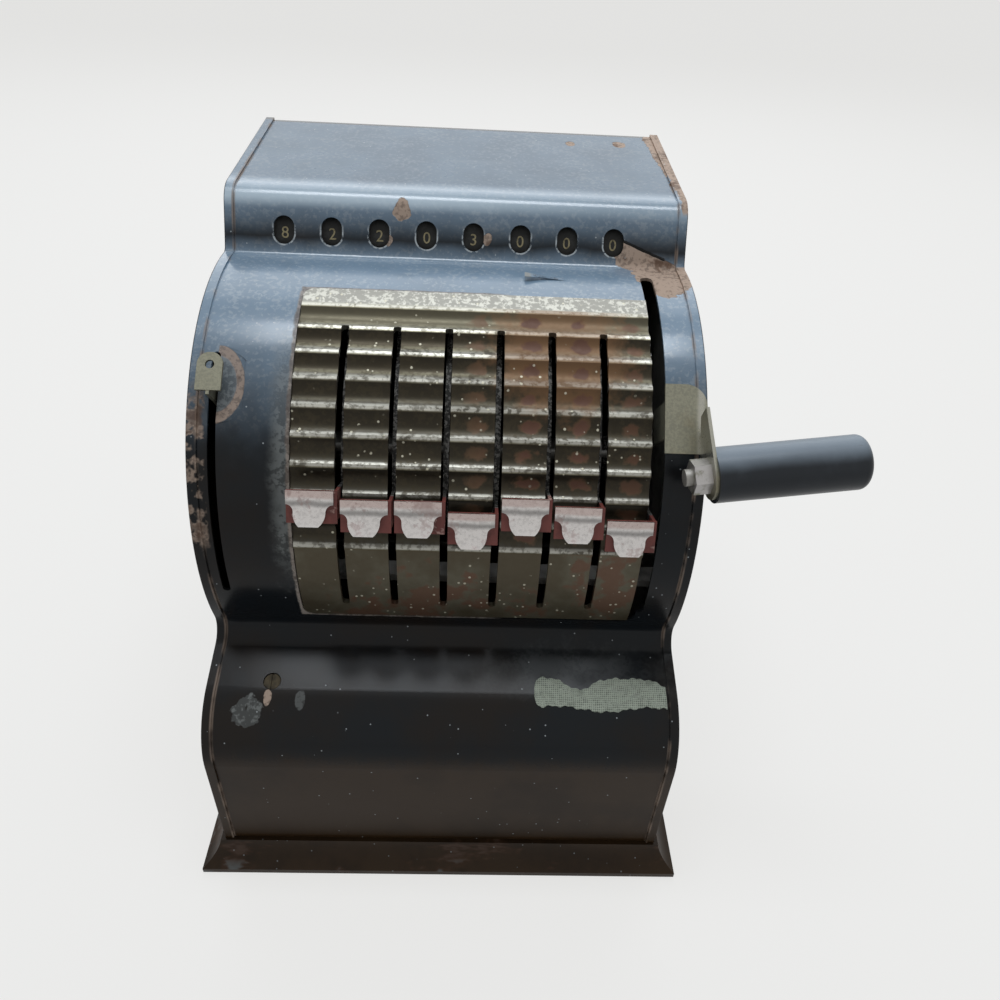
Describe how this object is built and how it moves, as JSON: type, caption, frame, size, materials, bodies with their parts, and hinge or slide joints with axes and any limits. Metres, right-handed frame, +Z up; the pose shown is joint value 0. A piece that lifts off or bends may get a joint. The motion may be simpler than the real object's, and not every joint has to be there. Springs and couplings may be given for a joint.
{
  "type": "adding machine",
  "caption": "Desk adding machine in a sheet-metal case: sliding finger levers on a ridged index plate, geared number wheels behind windows, a side handle and a clear lever.",
  "frame": {"origin": "middle of the base's underside", "axes": "+Z up, +X to the operator's right, +Y towards the back, so the operator sits at -Y"},
  "size_m": [0.2486, 0.2448, 0.2502],
  "materials": {
    "black_enamel": "worn black japanned enamel, satin",
    "base_enamel": "brown-black enamel, rubbed at the edges",
    "bottom_paint": "dull dark paint",
    "index_nickel": "aged nickel plate, olive grey",
    "lever_red": "brick red enamel on steel",
    "tab_nickel": "worn nickel plate",
    "wheel_black": "matt black with pale numerals",
    "handle_nickel": "satin nickel plate, brass at the worn edges",
    "grip_black": "black lacquer, satin",
    "screw_brass": "tarnished brass",
    "steel": "plain oiled steel"
  },
  "bodies": {
    "case": {"base_pan": "base_enamel", "bottom_plate": "bottom_paint", "front_cover": "black_enamel", "side_panel_left": "black_enamel", "side_panel_right": "black_enamel", "back_cover": "black_enamel", "index_plate": "index_nickel", "frame_left": "steel", "frame_right": "steel", "main_shaft": "steel", "shaft_sleeves": "steel", "carry_shaft": "steel", "tie_rods": "steel", "frame_nuts": "steel", "zero_stop_bar": "steel", "detent_comb": "steel", "cover_screws": "screw_brass", "foot_screws": "steel"},
    "lever_1": {"setting_lever_1": "lever_red", "finger_tab_1": "tab_nickel"},
    "lever_2": {"setting_lever_2": "lever_red", "finger_tab_2": "tab_nickel"},
    "lever_3": {"setting_lever_3": "lever_red", "finger_tab_3": "tab_nickel"},
    "lever_4": {"setting_lever_4": "lever_red", "finger_tab_4": "tab_nickel"},
    "lever_5": {"setting_lever_5": "lever_red", "finger_tab_5": "tab_nickel"},
    "lever_6": {"setting_lever_6": "lever_red", "finger_tab_6": "tab_nickel"},
    "lever_7": {"setting_lever_7": "lever_red", "finger_tab_7": "tab_nickel"},
    "wheel_1": {"number_wheel_1": "wheel_black"},
    "wheel_2": {"number_wheel_2": "wheel_black"},
    "wheel_3": {"number_wheel_3": "wheel_black"},
    "wheel_4": {"number_wheel_4": "wheel_black"},
    "wheel_5": {"number_wheel_5": "wheel_black"},
    "wheel_6": {"number_wheel_6": "wheel_black"},
    "wheel_7": {"number_wheel_7": "wheel_black"},
    "wheel_8": {"number_wheel_8": "wheel_black"},
    "pawl_1": {"carry_pawl_1": "steel"},
    "pawl_2": {"carry_pawl_2": "steel"},
    "pawl_3": {"carry_pawl_3": "steel"},
    "pawl_4": {"carry_pawl_4": "steel"},
    "pawl_5": {"carry_pawl_5": "steel"},
    "pawl_6": {"carry_pawl_6": "steel"},
    "pawl_7": {"carry_pawl_7": "steel"},
    "handle": {"handle_arm": "handle_nickel", "handle_grip": "grip_black", "handle_bolt": "steel", "handle_nut": "handle_nickel", "restoring_bail": "steel"},
    "clear": {"clear_lever": "handle_nickel"},
    "dial": {"dial_shaft": "steel"}
  },
  "joints": [
    {"name": "lever_1_swing", "type": "hinge", "parent": "case", "child": "lever_1", "pos_m": [0, 0.011, 0.1345], "axis": [-1, 0, 0], "range_deg": [-22.42, 39.29]},
    {"name": "lever_2_swing", "type": "hinge", "parent": "case", "child": "lever_2", "pos_m": [0, 0.011, 0.1345], "axis": [-1, 0, 0], "range_deg": [-20.57, 41.14]},
    {"name": "lever_3_swing", "type": "hinge", "parent": "case", "child": "lever_3", "pos_m": [0, 0.011, 0.1345], "axis": [-1, 0, 0], "range_deg": [-20.64, 41.07]},
    {"name": "lever_4_swing", "type": "hinge", "parent": "case", "child": "lever_4", "pos_m": [0, 0.011, 0.1345], "axis": [-1, 0, 0], "range_deg": [-18.31, 43.41]},
    {"name": "lever_5_swing", "type": "hinge", "parent": "case", "child": "lever_5", "pos_m": [0, 0.011, 0.1345], "axis": [-1, 0, 0], "range_deg": [-21.81, 39.91]},
    {"name": "lever_6_swing", "type": "hinge", "parent": "case", "child": "lever_6", "pos_m": [0, 0.011, 0.1345], "axis": [-1, 0, 0], "range_deg": [-20.3, 41.42]},
    {"name": "lever_7_swing", "type": "hinge", "parent": "case", "child": "lever_7", "pos_m": [0, 0.011, 0.1345], "axis": [-1, 0, 0], "range_deg": [-17.49, 44.23]},
    {"name": "wheel_1_turn", "type": "hinge", "parent": "case", "child": "wheel_1", "pos_m": [0, 0.04073, 0.22084], "axis": [-1, 0, 0], "continuous": true},
    {"name": "wheel_2_turn", "type": "hinge", "parent": "case", "child": "wheel_2", "pos_m": [0, 0.04073, 0.22084], "axis": [-1, 0, 0], "range_deg": [-206.78, 118.22]},
    {"name": "wheel_3_turn", "type": "hinge", "parent": "case", "child": "wheel_3", "pos_m": [0, 0.04073, 0.22084], "axis": [-1, 0, 0], "range_deg": [-216.5, 108.5]},
    {"name": "wheel_4_turn", "type": "hinge", "parent": "case", "child": "wheel_4", "pos_m": [0, 0.04073, 0.22084], "axis": [-1, 0, 0], "range_deg": [-216.14, 108.86]},
    {"name": "wheel_5_turn", "type": "hinge", "parent": "case", "child": "wheel_5", "pos_m": [0, 0.04073, 0.22084], "axis": [-1, 0, 0], "range_deg": [-228.38, 96.62]},
    {"name": "wheel_6_turn", "type": "hinge", "parent": "case", "child": "wheel_6", "pos_m": [0, 0.04073, 0.22084], "axis": [-1, 0, 0], "range_deg": [-210.02, 114.98]},
    {"name": "wheel_7_turn", "type": "hinge", "parent": "case", "child": "wheel_7", "pos_m": [0, 0.04073, 0.22084], "axis": [-1, 0, 0], "range_deg": [-217.94, 107.06]},
    {"name": "wheel_8_turn", "type": "hinge", "parent": "case", "child": "wheel_8", "pos_m": [0, 0.04073, 0.22084], "axis": [-1, 0, 0], "range_deg": [-232.7, 92.3]},
    {"name": "pawl_1_rock", "type": "hinge", "parent": "case", "child": "pawl_1", "pos_m": [0, 0.06973, 0.20731], "axis": [-1, 0, 0], "range_deg": [-5, 5]},
    {"name": "pawl_2_rock", "type": "hinge", "parent": "case", "child": "pawl_2", "pos_m": [0, 0.06973, 0.20731], "axis": [-1, 0, 0], "range_deg": [-5, 5]},
    {"name": "pawl_3_rock", "type": "hinge", "parent": "case", "child": "pawl_3", "pos_m": [0, 0.06973, 0.20731], "axis": [-1, 0, 0], "range_deg": [-5, 5]},
    {"name": "pawl_4_rock", "type": "hinge", "parent": "case", "child": "pawl_4", "pos_m": [0, 0.06973, 0.20731], "axis": [-1, 0, 0], "range_deg": [-5, 5]},
    {"name": "pawl_5_rock", "type": "hinge", "parent": "case", "child": "pawl_5", "pos_m": [0, 0.06973, 0.20731], "axis": [-1, 0, 0], "range_deg": [-5, 5]},
    {"name": "pawl_6_rock", "type": "hinge", "parent": "case", "child": "pawl_6", "pos_m": [0, 0.06973, 0.20731], "axis": [-1, 0, 0], "range_deg": [-5, 5]},
    {"name": "pawl_7_rock", "type": "hinge", "parent": "case", "child": "pawl_7", "pos_m": [0, 0.06973, 0.20731], "axis": [-1, 0, 0], "range_deg": [-5, 5]},
    {"name": "handle_pull", "type": "hinge", "parent": "case", "child": "handle", "pos_m": [0, 0.011, 0.1345], "axis": [-1, 0, 0], "range_deg": [-43, 25]},
    {"name": "clear_pull", "type": "hinge", "parent": "case", "child": "clear", "pos_m": [0, 0.011, 0.1345], "axis": [-1, 0, 0], "range_deg": [-50, 0]},
    {"name": "dial_turn", "type": "hinge", "parent": "case", "child": "dial", "pos_m": [0, 0.04073, 0.22084], "axis": [-1, 0, 0], "range_deg": [-0.5, 396.93]}
  ],
  "couplings": [
    {"joint": "wheel_2_turn", "follows": "lever_1_swing", "ratio": -5.25},
    {"joint": "wheel_3_turn", "follows": "lever_2_swing", "ratio": -5.25},
    {"joint": "wheel_4_turn", "follows": "lever_3_swing", "ratio": -5.25},
    {"joint": "wheel_5_turn", "follows": "lever_4_swing", "ratio": -5.25},
    {"joint": "wheel_6_turn", "follows": "lever_5_swing", "ratio": -5.25},
    {"joint": "wheel_7_turn", "follows": "lever_6_swing", "ratio": -5.25},
    {"joint": "wheel_8_turn", "follows": "lever_7_swing", "ratio": -5.25},
    {"joint": "dial_turn", "follows": "clear_pull", "ratio": -7.9286}
  ]
}
